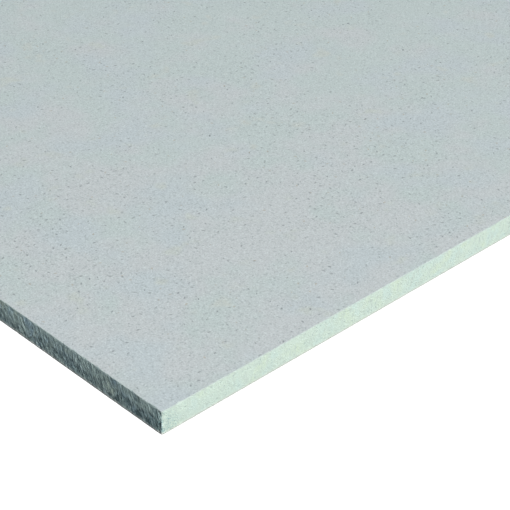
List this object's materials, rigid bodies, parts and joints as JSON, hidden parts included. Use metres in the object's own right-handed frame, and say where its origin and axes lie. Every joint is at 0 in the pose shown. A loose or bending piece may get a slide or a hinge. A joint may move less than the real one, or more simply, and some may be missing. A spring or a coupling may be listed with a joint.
{
  "type": "gypsum fibre board",
  "caption": "Flat square-edged rectangular sheet of pressed gypsum and paper fibre, for lining walls, ceilings and floors.",
  "frame": {"origin": "middle of the board's underside, in the plane that it lies on", "axes": "+X along the board's length, +Y across its width, +Z out of its sanded face"},
  "size_m": [1.5, 1, 0.0125],
  "materials": {
    "gypsum_fibre": "matt, sanded, with fine grey and brown fibre specks"
  },
  "bodies": {
    "root": {"board": "gypsum_fibre"}
  },
  "joints": []
}
